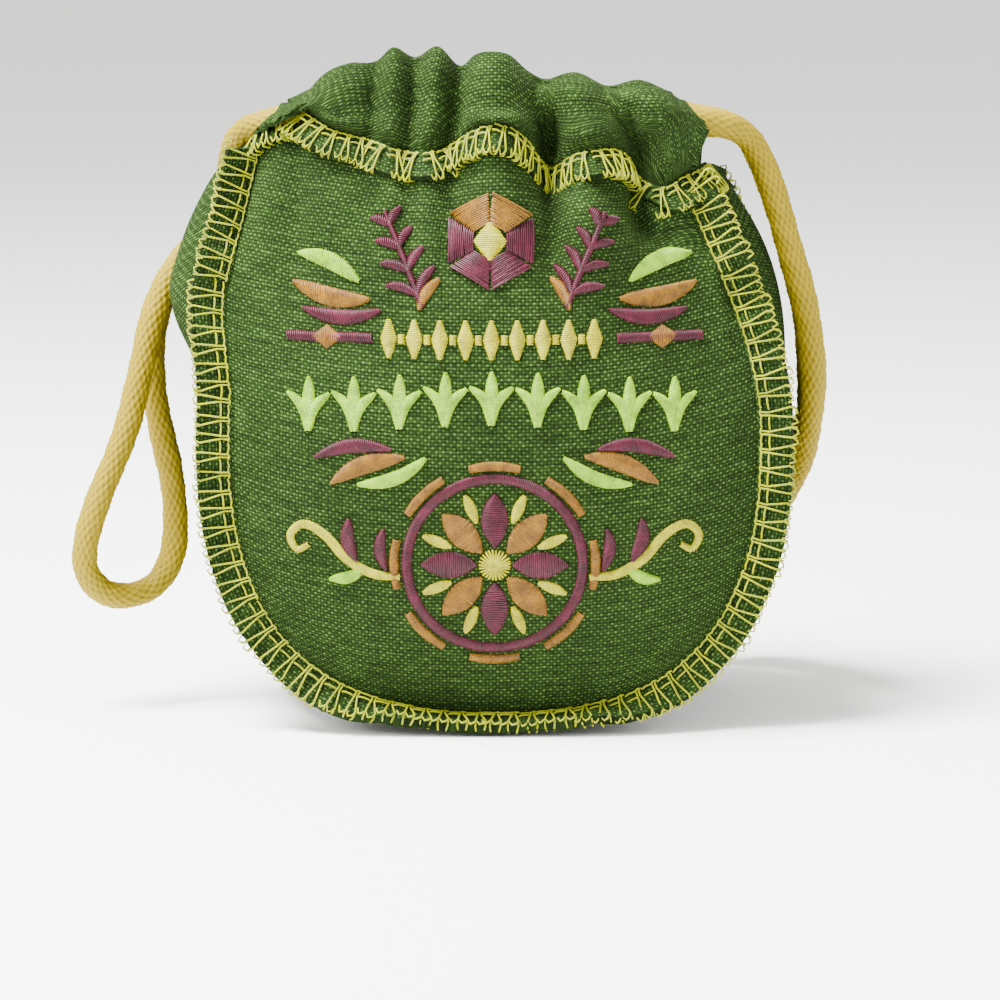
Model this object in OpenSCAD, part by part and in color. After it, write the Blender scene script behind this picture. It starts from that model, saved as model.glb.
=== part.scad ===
// Drawstring dice bag: two canvas panels and a gusset, sewn with their seam allowances outside,
// under a casing in two halves. One cord runs through both halves and makes a loop at each side.
// The front faces -Y, +Z is up, and the origin is the middle of the base on the floor.

/* [Bag] */
// Half width of a panel at its widest place, on the seam
half_w = 50; // [48:1:52]
// Height of the widest place
belly_z = 55; // [53:1:57]
// Height at which the panels end and the casing begins
top_z = 108; // [107:1:109]
// Height of the lowest place on a side seam
seam_low_z = 3; // [2.5:0.5:4]
// Distance from the middle of the bag to a side seam
seam_y = 24; // [23:1:25]
// Distance from the middle of the bag to the fullest place of a panel
belly_y = 36; // [34:1:38]
// How far the gusset bulges past the seams
side_bulge = 7.5; // [6:0.5:8]
// Thickness of the canvas
cloth_t = 0.9; // [0.7:0.1:1.2]

/* [Seams] */
// Width of an overlocked seam allowance
seam_w = 6.5; // [5:0.5:7]
// Thickness of an overlocked seam allowance
seam_t = 2.2; // [1.8:0.1:2.4]

/* [Casing] */
// Half length of a casing half, and so of its cord channel
casing_half_l = 40; // [39:1:41]
// Height of the casing at the middle
casing_h = 22; // [20:1:24]
// How much lower the casing is at its ends
casing_drop = 8; // [6:1:9]
// Thickness of the gathered casing, front to back
casing_t = 9; // [8.6:0.1:9.4]
// Distance from the middle of the mouth to the casing's middle line
lip_mid_y = 13; // [12:0.5:14]
// The same distance at the casing's ends
lip_end_y = 9; // [8.8:0.1:9.4]

/* [Cord] */
// Diameter of the cord
cord_d = 5; // [4.5:0.1:5]
// Diameter of the channel that the cord runs in
channel_d = 6.4; // [6:0.1:6.6]
// Diameter of the knot that joins the cord's ends
knot_d = 13; // [12:0.5:13]

/* [Embroidery] */
// How far the satin stitches stand off the canvas
stitch_t = 0.6; // [0.4:0.1:0.8]
// Radius of the round medallion
medallion_r = 15; // [14:0.5:15]
// Height of the medallion's middle
medallion_z = 34; // [33:1:35]
// Radius of the six-sided gem at the top
gem_r = 8; // [7:0.5:8]
// Height of the gem's middle
gem_z = 94; // [93:1:95]

/* [Hidden] */
$fn = 48;

canvas_green = "#4f7a3a";
thread_lime = "#cfe01e";
cord_yellow = "#f2c800";
satin_burgundy = "#6e1d3a";
satin_gold = "#c88a2a";
satin_yellow = "#ece014";
satin_lime = "#c8f04a";

squareness = 2.46;      // power of the superellipse that is the seam's lower half
shoulder_h = 80;        // height of the ellipse that is the seam's upper half
fullness = 2.2;         // power of the panel's crown: higher is flatter in the middle
ring_x = 45;            // half width of the neck, an ellipse at top_z
ring_y = 20;            // half depth of the neck
level_h = 22;           // height over which the seams level out into the neck
slide_gap = 0.4;        // clearance under the casing, which slides over the panels
stitch_gap = 0.05;      // clearance between the stitches and the canvas
seam_strip = 0.024;     // part of a panel's radius that the seam's base covers
rim_lean = 47;          // lean of the seam's mitre towards the panel
edge_lean_side = 13;    // lean of the seam allowance to the front, at the sides
edge_lean_base = 86;    // the same at the base, where it lies forward on the floor

corner_x = half_w * sqrt(1 - pow((top_z - belly_z) / shoulder_h, 2));
corner_a = 180 - atan2(corner_x, top_z - belly_z);
corner_y = ring_depth(corner_x);
seam_steps = 64;
top_steps = 14;
seam_angles = [for (i = [0:seam_steps]) corner_a * (2 * i / seam_steps - 1)];
top_angles = [for (i = [1:top_steps - 1])
    180 - atan2(corner_x * (1 - 2 * i / top_steps), top_z - belly_z)];
rim_angles = concat(seam_angles, top_angles);
ring_ratios = [0.2, 0.4, 0.56, 0.7, 0.82, 0.92, 1 - seam_strip, 1];
gusset_v = [-1, -0.95, -0.77, -0.52, -0.2, 0.2, 0.52, 0.77, 0.95, 1];
casing_steps = 28;
casing_sides = 16;

function ease(t) = let (u = min(1, max(0, t))) u * u * (3 - 2 * u);
function unit(v) = v / norm(v);

// ---- Faces and solids made from rows of points ----

// Two triangles for each cell of a grid; both ways round may be closed
function grid_faces(rows, n, start = 0, wrap_rows = false, wrap = true) =
    [for (i = [0:rows - (wrap_rows ? 1 : 2)], j = [0:n - (wrap ? 1 : 2)])
        let (p = start + i * n + j, q = start + i * n + (j + 1) % n,
             r = start + ((i + 1) % rows) * n + j, s = start + ((i + 1) % rows) * n + (j + 1) % n)
        each [[p, s, q], [p, r, s]]];

// A solid through like sections, closed by its first and last section
module loft(sections) {
    n = len(sections[0]);
    last = (len(sections) - 1) * n;
    polyhedron(
        points = [for (s = sections) each s],
        faces = concat(
            [[for (k = [0:n - 1]) k]],
            grid_faces(len(sections), n),
            [[for (k = [n - 1:-1:0]) last + k]]));
}

// ---- The shape of the filled bag; angle 0 is the base and 180 the top ----

function rim_radius(a) = let (c = cos(a))
    c > 0 ? pow(pow(abs(sin(a)) / half_w, squareness) + pow(c / (belly_z - seam_low_z), squareness), -1 / squareness)
    : min(1 / norm([sin(a) / half_w, c / shoulder_h]), c > -0.01 ? half_w * 2 : (belly_z - top_z) / c);

function rim_xz(a) = let (r = rim_radius(a)) [r * sin(a), belly_z - r * cos(a)];

function ring_depth(x) = ring_y * sqrt(1 - pow(x / ring_x, 2));

function rim_depth(p) = p[1] > top_z - 0.001 ? ring_depth(p[0])
    : seam_y + (corner_y - seam_y) * ease((p[1] - belly_z) / (top_z - belly_z));

// How far a place on the seam has levelled out towards the neck, and the seam's direction there
function neck_level(a) = ease((rim_xz(a)[1] - (top_z - level_h)) / level_h);
function seam_angle(a) = sign(a) * min(abs(a), corner_a - 0.5);
function seam_out(a) = let (b = seam_angle(a), t = unit(rim_xz(b + 0.5) - rim_xz(b - 0.5)))
    unit([t[1], -t[0] * (1 - neck_level(a))]);

function panel_point(a, ratio) = let (p = rim_xz(a), d = rim_depth(p))
    [ratio * p[0], -(d + (belly_y - d) * (1 - pow(ratio, fullness))), belly_z + ratio * (p[1] - belly_z)];

function panel_normal(a, ratio) =
    unit(cross(panel_point(a, ratio + 0.01) - panel_point(a, ratio - 0.01),
               panel_point(a + 0.5, ratio) - panel_point(a - 0.5, ratio)));

// The front seam's line, and the line that the two cloths' inner faces meet on
function seam_point(a) = panel_point(a, 1);
function seam_inner(a) = let (o = seam_out(a))
    seam_point(a) - cloth_t * [o[0] * cos(rim_lean), -sin(rim_lean), o[1] * cos(rim_lean)];
function top_inner(a) = let (p = seam_point(a))
    p - cloth_t * unit([p[0] / pow(ring_x, 2), p[1] / pow(ring_y, 2), 0]);

// ---- Canvas ----

module panel() {
    n = len(rim_angles);
    rings = len(ring_ratios);
    outer = [for (r = ring_ratios) [for (a = rim_angles) panel_point(a, r)]];
    rim = [for (i = [0:n - 1]) i <= seam_steps ? seam_inner(rim_angles[i]) : top_inner(rim_angles[i])];
    inner = [for (k = [rings - 2:-1:0])
        [for (a = rim_angles) panel_point(a, ring_ratios[k]) - cloth_t * panel_normal(a, ring_ratios[k])]];
    rows = concat(outer, [rim], inner);
    poles = len(rows) * n;
    polyhedron(
        points = concat([for (r = rows) each r], [[0, -belly_y, belly_z], [0, cloth_t - belly_y, belly_z]]),
        faces = concat(
            [for (j = [0:n - 1]) [poles, j, (j + 1) % n]],
            grid_faces(len(rows), n),
            [for (j = [0:n - 1]) [poles + 1, poles - n + (j + 1) % n, poles - n + j]]));
}

module front_panel() {
    color(canvas_green) panel();
}

module back_panel() {
    color(canvas_green) mirror([0, 1, 0]) panel();
}

function gusset_point(a, v, inset) = let (p = rim_xz(a), o = seam_out(a), s = side_bulge * (1 - v * v) - inset)
    [p[0] + o[0] * s, v * rim_depth(p), max(inset, p[1] + o[1] * s)];

module gusset() {
    last = len(gusset_v) - 1;
    color(canvas_green) loft([for (a = seam_angles) let (i = seam_inner(a)) concat(
        [for (v = gusset_v) gusset_point(a, v, 0)],
        [[i[0], -i[1], i[2]]],
        [for (k = [last - 1:-1:1]) gusset_point(a, gusset_v[k], cloth_t)],
        [i])]);
}

// ---- Seam allowances, closed over by the overlock stitches ----

function edge_lean(a) = edge_lean_side + (edge_lean_base - edge_lean_side) * ease((46 - abs(a)) / 30);

module side_seam() {
    loft([for (a = seam_angles) let (
            b = seam_angle(a),
            p = seam_point(a),
            o = seam_out(a),
            along = seam_point(b + 0.5) - seam_point(b - 0.5),
            rise = 1 - neck_level(a),
            f = unit([o[0] * cos(edge_lean(a)), -sin(edge_lean(a)), o[1] * cos(edge_lean(a))]),
            t = unit(cross(f, [along[0] * rise, along[1] * rise, along[2]])))
        [panel_point(a, 1 - seam_strip),
         p,
         gusset_point(a, gusset_v[1], 0),
         p + seam_w * f - seam_t / 2 * t,
         p + seam_w * f + seam_t / 2 * t]]);
}

module front_seam() {
    color(thread_lime) side_seam();
}

module back_seam() {
    color(thread_lime) mirror([0, 1, 0]) side_seam();
}

// ---- Casing ----

function lip_y(x) = lip_mid_y + (lip_end_y - lip_mid_y) * pow(x / casing_half_l, 2);
function casing_half_h(x) = (casing_h - casing_drop * pow(x / casing_half_l, 2)) / 2;
function casing_mid_z(x) = top_z + slide_gap + casing_half_h(x);

function casing_point(x, t) = let (base = pow(max(0, cos(t)), 2))
    [x,
     -(lip_y(x) + (ring_depth(x) - lip_y(x)) * base + casing_t / 2 * sin(t)),
     casing_mid_z(x) - casing_half_h(x) * cos(t)];
function channel_point(x, t) =
    [x, -lip_y(x) - channel_d / 2 * sin(t), casing_mid_z(x) - channel_d / 2 * cos(t)];

casing_x = [for (i = [0:casing_steps]) casing_half_l * (2 * i / casing_steps - 1)];

module casing() {
    polyhedron(
        points = [for (k = [0:casing_sides - 1]) let (t = 360 * k / casing_sides) each concat(
            [for (x = casing_x) casing_point(x, t)],
            [for (i = [casing_steps:-1:0]) channel_point(casing_x[i], t)])],
        faces = grid_faces(casing_sides, 2 * (casing_steps + 1), wrap_rows = true));
}

module casing_front() {
    color(canvas_green) casing();
}

module casing_back() {
    color(canvas_green) mirror([0, 1, 0]) casing();
}

module top_seam() {
    low = 360 / casing_sides;
    loft([for (x = casing_x) let (
            out = unit([x / pow(ring_x, 2), -ring_depth(x) / pow(ring_y, 2), 0]),
            p = casing_point(x, low) + stitch_gap * out,
            q = casing_point(x, 2 * low) + stitch_gap * out,
            edge = p + seam_w * out)
        [q, p, edge, edge + [0, 0, seam_t]]]);
}

module top_seam_front() {
    color(thread_lime) top_seam();
}

module top_seam_back() {
    color(thread_lime) mirror([0, 1, 0]) top_seam();
}

// ---- Embroidery: satin stitches that follow the front panel ----

// A point that stands h off the front panel, over (x, z)
function on_panel(p, h) = let (
    a = atan2(p[0], belly_z - p[1]),
    ratio = norm([p[0], p[1] - belly_z]) / rim_radius(a))
    panel_point(a, ratio) - [0, h, 0];

// A satin bar along points in the panel's plane, with a width for each point
module satin(path, widths) {
    last = len(path) - 1;
    loft([for (i = [0:last]) let (
            d = unit(path[min(i + 1, last)] - path[max(i - 1, 0)]),
            side = [-d[1], d[0]] * widths[i] / 2)
        [on_panel(path[i] - side, stitch_gap), on_panel(path[i] + side, stitch_gap),
         on_panel(path[i] + side, stitch_gap + stitch_t), on_panel(path[i] - side, stitch_gap + stitch_t)]]);
}

module bar(p, q, w, steps = 3) {
    satin([for (i = [0:steps]) p + (q - p) * i / steps], [for (i = [0:steps]) w]);
}

module arc(centre, r, a0, a1, w, steps = 8) {
    satin([for (i = [0:steps]) let (a = a0 + (a1 - a0) * i / steps) centre + r * [cos(a), sin(a)]],
          [for (i = [0:steps]) w]);
}

// A leaf from p to q that bows sideways, full in the middle and thin at both ends
module leaf(p, q, w, bow, steps = 6) {
    side = [p[1] - q[1], q[0] - p[0]] * bow;
    satin([for (i = [0:steps]) p + (q - p) * i / steps + side * sin(180 * i / steps)],
          [for (i = [0:steps]) 0.4 + (w - 0.4) * sin(180 * i / steps)]);
}

function polar(centre, r, a) = centre + r * [cos(a), sin(a)];

gem = [0, gem_z];
medallion = [0, medallion_z];

module embroidery_burgundy() {
    color(satin_burgundy) {
        for (i = [0:5]) bar(polar(gem, gem_r, 60 * i + 34), polar(gem, gem_r, 60 * i + 86), 1.4, 2);
        for (s = [-1, 1]) {
            leaf([s * 34, 80], [s * 22, 86], 2.4, s * 0.14);
            leaf([s * 34, 50.5], [s * 25, 53], 2.2, s * 0.16);
            bar([s * 19, medallion_z + 4.5], [s * 32, medallion_z + 6], 1.1);
        }
        for (i = [0:3]) arc(medallion, medallion_r, 90 * i + 47, 90 * i + 133, 1.8);
        for (i = [0:7])
            bar(polar(medallion, 6.4, 45 * i + 22.5), polar(medallion, medallion_r - 3.6, 45 * i + 22.5), 2, 2);
    }
}

module embroidery_gold() {
    color(satin_gold) {
        for (i = [0:2]) bar(polar(gem, 4.6, 120 * i + 38), polar(gem, 4.6, 120 * i + 142), 1.2, 2);
        for (s = [-1, 1]) {
            leaf([s * 35, 77.5], [s * 21, 82], 2.6, s * 0.1);
            leaf([s * 33, 47.5], [s * 23, 50.5], 2.6, s * 0.12);
        }
        for (i = [0:3]) arc(medallion, medallion_r - 2.3, 90 * i + 50, 90 * i + 130, 1.2);
    }
}

module embroidery_yellow() {
    color(satin_yellow) {
        for (s = [-1, 1]) {
            leaf([s * 17, medallion_z - 1], [s * 37, medallion_z + 5], 1.8, -s * 0.12);
            bar([s * 13, gem_z - 9], [s * 22, gem_z - 15], 1.2, 3);
            leaf([s * 12, gem_z - 3], [s * 12, gem_z + 6], 2.4, s * 0.1);
        }
        for (i = [0:3]) leaf(polar(medallion, 0.8, 90 * i), polar(medallion, 9.6, 90 * i), 2.8, 0);
    }
}

module embroidery_lime() {
    lime_rows = [60.5, 69.5];
    color(satin_lime) {
        for (z = lime_rows, i = [-3:3]) {
            leaf([i * 9.6 - 3.6, z], [i * 9.6 + 0.2, z + 5], 1.8, -0.12, 4);
            leaf([i * 9.6 + 3.6, z], [i * 9.6 + 0.9, z + 4.6], 1.8, 0.12, 4);
        }
        for (s = [-1, 1]) {
            leaf([s * 36, 74.6], [s * 25, 77.6], 1.8, s * 0.08);
            leaf([s * 32, 44.8], [s * 23, 47.2], 1.8, s * 0.08);
        }
    }
}

// ---- Cord ----

// Where the two strands leave the casing: at the left both pass behind the gusset's bulge
left_end_front = [[-52.2, 5.9, 101], [-51.7, 5.7, 102.4], [-51.5, 3.4, 107.2], [-49.4, -0.8, 112.2], [-45.4, -5.2, 114.9]];
left_end_back = [[-51.2, 11.6, 101], [-50.7, 11.7, 102.4], [-50.5, 11.3, 106.4], [-48.7, 10.2, 111.7], [-44.5, 9.2, 114.7]];
right_end = [[45.5, 6.4, 114.4], [49.5, 4, 111.5], [52.4, 2.8, 106], [54.5, 2.5, 100]];

left_loop = [
    [-52.3, 5.9, 100.7], [-52.8, 6.1, 99.3], [-57.6, 4.1, 92.6], [-63.2, 0.6, 85.4], [-66.9, -2, 76.4], [-69, -3.6, 67],
    [-71, -4.3, 58.5], [-74, -5.2, 50], [-77.3, -6, 42], [-79.8, -6.4, 34.5], [-80, -5.6, 28],
    [-76.8, -3.4, 23.2], [-71.8, -0.4, 22], [-67, 2.6, 24], [-64, 4.6, 29.5], [-63.4, 5.4, 37],
    [-64.2, 5.2, 45.5], [-65.8, 4.6, 54], [-67.2, 4.2, 63], [-67.4, 4.8, 71.6], [-65.4, 6.2, 79.8],
    [-61.3, 8.2, 87.4], [-56, 10.3, 93.6], [-51.8, 11.5, 99.3], [-51.3, 11.6, 100.7]];

leg_front = [
    [54.6, -2.5, 99.8], [57, -2.6, 92], [59.3, -2.4, 84], [61.2, -1.6, 76], [62.3, 0, 68],
    [62.4, 3, 60], [62, 8, 52.5], [60.9, 14, 46], [59.4, 20.5, 40.5], [57.2, 27, 35.5],
    [54, 32, 30.6], [50.4, 35.8, 26.3], [48.5, 38.2, 23.8]];

leg_back = [
    [54.6, 2.5, 99.8], [57, 2.6, 92], [59.3, 3, 84], [61, 4, 76], [62, 5.8, 68.2],
    [62.3, 8.2, 61.8], [62.3, 12.1, 56], [61.3, 17.9, 50], [59.7, 24.4, 44.8], [57, 31, 39.8],
    [53.4, 36.5, 35.4], [50.2, 40.6, 29.8], [48.8, 41.6, 26.4]];

knot_centre = [48, 40, 22];
tail_left = [[45, 40, 18], [44, 40.5, 14], [43, 41, 9.5]];
tail_right = [[50.8, 41.5, 18], [51.8, 43, 13.5], [52, 44, 9]];

module cord(path, sides = 10) {
    last = len(path) - 1;
    loft([for (i = [0:last]) let (
            t = unit(path[min(i + 1, last)] - path[max(i - 1, 0)]),
            u = unit(cross(t, [0, 1, 0])),
            v = cross(u, t))
        [for (k = [0:sides - 1]) let (a = 360 * k / sides) path[i] + cord_d / 2 * (u * cos(a) + v * sin(a))]]);
}

// The middle line of a casing's channel; side is -1 for the front half and 1 for the back
function channel_line(side) = [for (i = [-4:4]) let (x = i * 9.6) [x, side * lip_y(x), casing_mid_z(x)]];

module cord_front_run() {
    color(cord_yellow) cord(concat(
        left_end_front, channel_line(-1), [for (p = right_end) [p[0], -p[1], p[2]]]));
}

module cord_back_run() {
    color(cord_yellow) cord(concat(left_end_back, channel_line(1), right_end));
}

module cord_left_loop() {
    color(cord_yellow) cord(left_loop);
}

module cord_right_leg_front() {
    color(cord_yellow) cord(leg_front);
}

module cord_right_leg_back() {
    color(cord_yellow) cord(leg_back);
}

module cord_knot() {
    color(cord_yellow) translate(knot_centre) sphere(d = knot_d);
}

module cord_tails() {
    color(cord_yellow) {
        cord(tail_left);
        cord(tail_right);
    }
}

front_panel();
back_panel();
gusset();
front_seam();
back_seam();
casing_front();
casing_back();
top_seam_front();
top_seam_back();
embroidery_burgundy();
embroidery_gold();
embroidery_yellow();
embroidery_lime();
cord_front_run();
cord_back_run();
cord_left_loop();
cord_right_leg_front();
cord_right_leg_back();
cord_knot();
cord_tails();
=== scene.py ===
"""The looks of a small drawstring dice bag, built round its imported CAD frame: canvas, overlocked seams,
satin embroidery and a plaited cord. Lengths are in metres; millimetres are written as 5 * mm."""

import math

import bmesh
import bpy
import numpy as np
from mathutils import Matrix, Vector


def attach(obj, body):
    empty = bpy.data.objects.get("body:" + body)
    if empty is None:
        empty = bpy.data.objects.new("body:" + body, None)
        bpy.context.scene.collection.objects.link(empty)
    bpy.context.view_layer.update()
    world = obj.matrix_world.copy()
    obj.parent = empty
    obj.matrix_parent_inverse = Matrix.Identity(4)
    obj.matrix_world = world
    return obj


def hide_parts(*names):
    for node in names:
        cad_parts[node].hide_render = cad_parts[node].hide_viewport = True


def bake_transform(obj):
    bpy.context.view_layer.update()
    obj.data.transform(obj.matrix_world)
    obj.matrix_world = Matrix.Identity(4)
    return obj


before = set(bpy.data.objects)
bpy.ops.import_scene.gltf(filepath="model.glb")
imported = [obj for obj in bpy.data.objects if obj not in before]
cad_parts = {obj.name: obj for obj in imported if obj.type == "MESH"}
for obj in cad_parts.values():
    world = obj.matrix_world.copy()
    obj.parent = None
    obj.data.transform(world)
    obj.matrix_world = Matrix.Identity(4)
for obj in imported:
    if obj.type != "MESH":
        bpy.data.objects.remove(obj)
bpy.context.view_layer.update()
mm = 0.001


# ---- Camera ----
# The bag is seen from the front and a little from above, from the distance of a product shot.
bag_middle = Vector((1 * mm, -30 * mm, 45.7 * mm))
view_distance = 700 * mm
view_rise = math.radians(9)
camera = bpy.data.objects.new("camera", bpy.data.cameras.new("camera"))
bpy.context.scene.collection.objects.link(camera)
camera.location = bag_middle + view_distance * Vector((0, -math.cos(view_rise), math.sin(view_rise)))
camera.rotation_euler = (bag_middle - camera.location).to_track_quat("-Z", "Y").to_euler()
camera.data.sensor_width = 36
camera.data.lens = 133.6
camera.data.clip_start = 0.01
bpy.context.scene.camera = camera


# ---- Drawstring ----
# One plaited polyester cord, 5 mm thick and limp. It runs through both halves of the casing, hangs as
# a loop at the left, and its two ends hang at the right and are tied together behind the bag.
cord_d = 5 * mm
left_end_front = np.array([
    [-52.2, 5.9, 101], [-51.7, 5.7, 102.4], [-51.5, 3.4, 107.2], [-49.4, -0.8, 112.2],
    [-45.4, -5.2, 114.9]]) * mm
left_end_back = np.array([
    [-51.2, 11.6, 101], [-50.7, 11.7, 102.4], [-50.5, 11.3, 106.4], [-48.7, 10.2, 111.7],
    [-44.5, 9.2, 114.7]]) * mm
right_end = np.array([[45.5, 6.4, 114.4], [49.5, 4, 111.5], [52.4, 2.8, 106], [54.5, 2.5, 100]]) * mm
left_loop = np.array([
    [-52.3, 5.9, 100.7], [-52.8, 6.1, 99.3], [-57.6, 4.1, 92.6], [-63.2, 0.6, 85.4],
    [-66.9, -2, 76.4], [-69, -3.6, 67], [-71, -4.3, 58.5], [-74, -5.2, 50], [-77.3, -6, 42],
    [-79.8, -6.4, 34.5], [-80, -5.6, 28], [-76.8, -3.4, 23.2], [-71.8, -0.4, 22], [-67, 2.6, 24],
    [-64, 4.6, 29.5], [-63.4, 5.4, 37],
    [-64.2, 5.2, 45.5], [-65.8, 4.6, 54], [-67.2, 4.2, 63], [-67.4, 4.8, 71.6], [-65.4, 6.2, 79.8],
    [-61.3, 8.2, 87.4], [-56, 10.3, 93.6], [-51.8, 11.5, 99.3], [-51.3, 11.6, 100.7]]) * mm
leg_front = np.array([
    [54.6, -2.5, 99.8], [57, -2.6, 92], [59.3, -2.4, 84], [61.2, -1.6, 76], [62.3, 0, 68],
    [62.4, 3, 60], [62, 8, 52.5], [60.9, 14, 46], [59.4, 20.5, 40.5], [57.2, 27, 35.5],
    [54, 32, 30.6], [50.4, 35.8, 26.3], [48.5, 38.2, 23.8]]) * mm
leg_back = np.array([
    [54.6, 2.5, 99.8], [57, 2.6, 92], [59.3, 3, 84], [61, 4, 76], [62, 5.8, 68.2],
    [62.3, 8.2, 61.8], [62.3, 12.1, 56], [61.3, 17.9, 50], [59.7, 24.4, 44.8], [57, 31, 39.8],
    [53.4, 36.5, 35.4], [50.2, 40.6, 29.8], [48.8, 41.6, 26.4]]) * mm
knot_centre = np.array([48, 40, 22]) * mm
tail_left = np.array([[46.2, 40, 21], [45, 40, 18], [44, 40.5, 14], [43, 41, 9.5]]) * mm
tail_right = np.array([[49.6, 41, 21], [50.8, 41.5, 18], [51.8, 43, 13.5], [52, 44, 9]]) * mm
lip_reach = np.array([0, -10.1, 6]) * mm      # over this step the cloth passes from the bag to a lip
lip_start = np.array([0, 0, 114]) * mm
mirror_y = np.array([1, -1, 1])
sides = (("front", -1), ("back", 1))          # each side of the bag, and its sign along Y

casing_foot = 108.4 * mm      # height of a casing half's foot
casing_h = 22 * mm            # height of the casing in the middle of the mouth
casing_fall = 8 * mm          # how much less that is at casing_span from the middle
casing_span = 40 * mm
lip_out = 13 * mm             # distance of the channel from the middle of the mouth
lip_turn = 4 * mm             # how much less that is at casing_span from the middle


def lip_y(x):
    """Distance of a casing half's channel from the middle of the mouth, at x."""
    return lip_out - lip_turn * (x / casing_span) ** 2


def channel_z(x):
    """Height of a casing half's channel at x."""
    return casing_foot + (casing_h - casing_fall * (x / casing_span) ** 2) / 2


def between(a, b, c, d, t):
    """Places on the smooth curve from b to c, at t from 0 to 1, where a comes before and d after them."""
    return 0.5 * (2 * b + (c - a) * t + (2 * a - 5 * b + 4 * c - d) * t**2 + (3 * b - a - 3 * c + d) * t**3)


def distance_along(line):
    """Distance of each point of a line from its first one, along the line."""
    return np.append(0, np.cumsum(np.linalg.norm(np.diff(line, axis=0), axis=1)))


def sampled(at, places, rows):
    """Rows of numbers read off at new places."""
    return np.column_stack([np.interp(at, places, column) for column in rows.T])


def smooth_line(points, step, before=None, after=None):
    """Points a step apart along a smooth curve through a list of points, which may aim at further ones."""
    first = 2 * points[0] - points[1] if before is None else before
    last = 2 * points[-1] - points[-2] if after is None else after
    knots = np.vstack([first, points, last])
    fine = []
    for a, b, c, d in zip(knots, knots[1:], knots[2:], knots[3:]):
        t = np.linspace(0, 1, 24, endpoint=False)[:, None]
        fine.append(between(a, b, c, d, t))
    fine = np.vstack(fine + [points[-1:]])
    reach = distance_along(fine)
    even = np.linspace(0, reach[-1], max(2, int(round(reach[-1] / step)) + 1))
    return sampled(even, reach, fine)


def unit(v):
    """Vectors scaled to length 1."""
    return v / np.maximum(np.linalg.norm(v, axis=-1, keepdims=True), 1e-12)


def ease(t):
    """A smooth step from 0 to 1."""
    t = np.clip(t, 0, 1)
    return t * t * (3 - 2 * t)


def step_up(value, start, width):
    """A smooth step from 0 to 1 that begins at start and takes a width, both in millimetres."""
    return ease((value - start * mm) / (width * mm))


def make_piece(name, points, faces, material, uv=None, values=None):
    """A smooth-shaded mesh object. uv has a pair for each point, and values a number for each point."""
    mesh = bpy.data.meshes.new(name)
    mesh.from_pydata(np.asarray(points).tolist(), [], [tuple(f) for f in faces])
    corners = np.empty(len(mesh.loops), int)
    mesh.loops.foreach_get("vertex_index", corners)
    if uv is not None:
        layer = mesh.uv_layers.new(name="cloth")
        layer.data.foreach_set("uv", np.asarray(uv, float)[corners].ravel())
    for key, numbers in (values or {}).items():
        mesh.attributes.new(key, "FLOAT", "POINT").data.foreach_set("value", np.asarray(numbers, float))
    mesh.polygons.foreach_set("use_smooth", [True] * len(mesh.polygons))
    mesh.materials.append(material)
    piece = bpy.data.objects.new(name, mesh)
    bpy.context.scene.collection.objects.link(piece)
    return piece


def grid_faces(rows, columns, wrap=False):
    """Quads of a grid of points, row after row. With wrap, each row closes on itself."""
    across = columns if wrap else columns - 1
    return [(r * columns + c, r * columns + (c + 1) % columns,
             (r + 1) * columns + (c + 1) % columns, (r + 1) * columns + c)
            for r in range(rows - 1) for c in range(across)]


def colour(hex_value):
    """An sRGB hex colour as linear red, green, blue and alpha."""
    parts = [int(hex_value[i:i + 2], 16) / 255 for i in (1, 3, 5)]
    return tuple(p / 12.92 if p <= 0.04045 else ((p + 0.055) / 1.055) ** 2.4 for p in parts) + (1.0,)


def node(tree, kind, inputs=None, **settings):
    """Adds a node. An input is a value, a socket, or a node whose first output is used."""
    made = tree.nodes.new(kind)
    for key, value in settings.items():
        setattr(made, key, value)
    for key, value in (inputs or {}).items():
        if isinstance(value, bpy.types.Node):
            value = value.outputs[0]
        if isinstance(value, bpy.types.NodeSocket):
            tree.links.new(value, made.inputs[key])
        else:
            made.inputs[key].default_value = value
    return made


def colour_steps(ramp, steps):
    """Sets a Color Ramp node's stops from pairs of place and hex colour."""
    stops = ramp.color_ramp.elements
    while len(stops) < len(steps):
        stops.new(0.5)
    for stop, (place, hex_value) in zip(stops, steps):
        stop.position = place
        stop.color = colour(hex_value)


def new_material(name):
    """A material with one Principled BSDF: the material, its tree and its shader."""
    material = bpy.data.materials.new(name)
    material.use_nodes = True
    return material, material.node_tree, material.node_tree.nodes["Principled BSDF"]


# Plaited polyester: soft bright yarns with a low sheen. The colour is painted darker ochre in the gaps
# between the yarns as painted shade, by how high the plait stands there.
cord_yarn, tree, shader = new_material("plaited_polyester_yellow")
crown = node(tree, "ShaderNodeAttribute", attribute_name="crown")
coords = node(tree, "ShaderNodeTexCoord")
fibre = node(tree, "ShaderNodeTexNoise", {"Vector": coords.outputs["Object"], "Scale": 900, "Detail": 3})
blotch = node(tree, "ShaderNodeTexNoise", {"Vector": coords.outputs["Object"], "Scale": 60, "Detail": 2})
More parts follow.
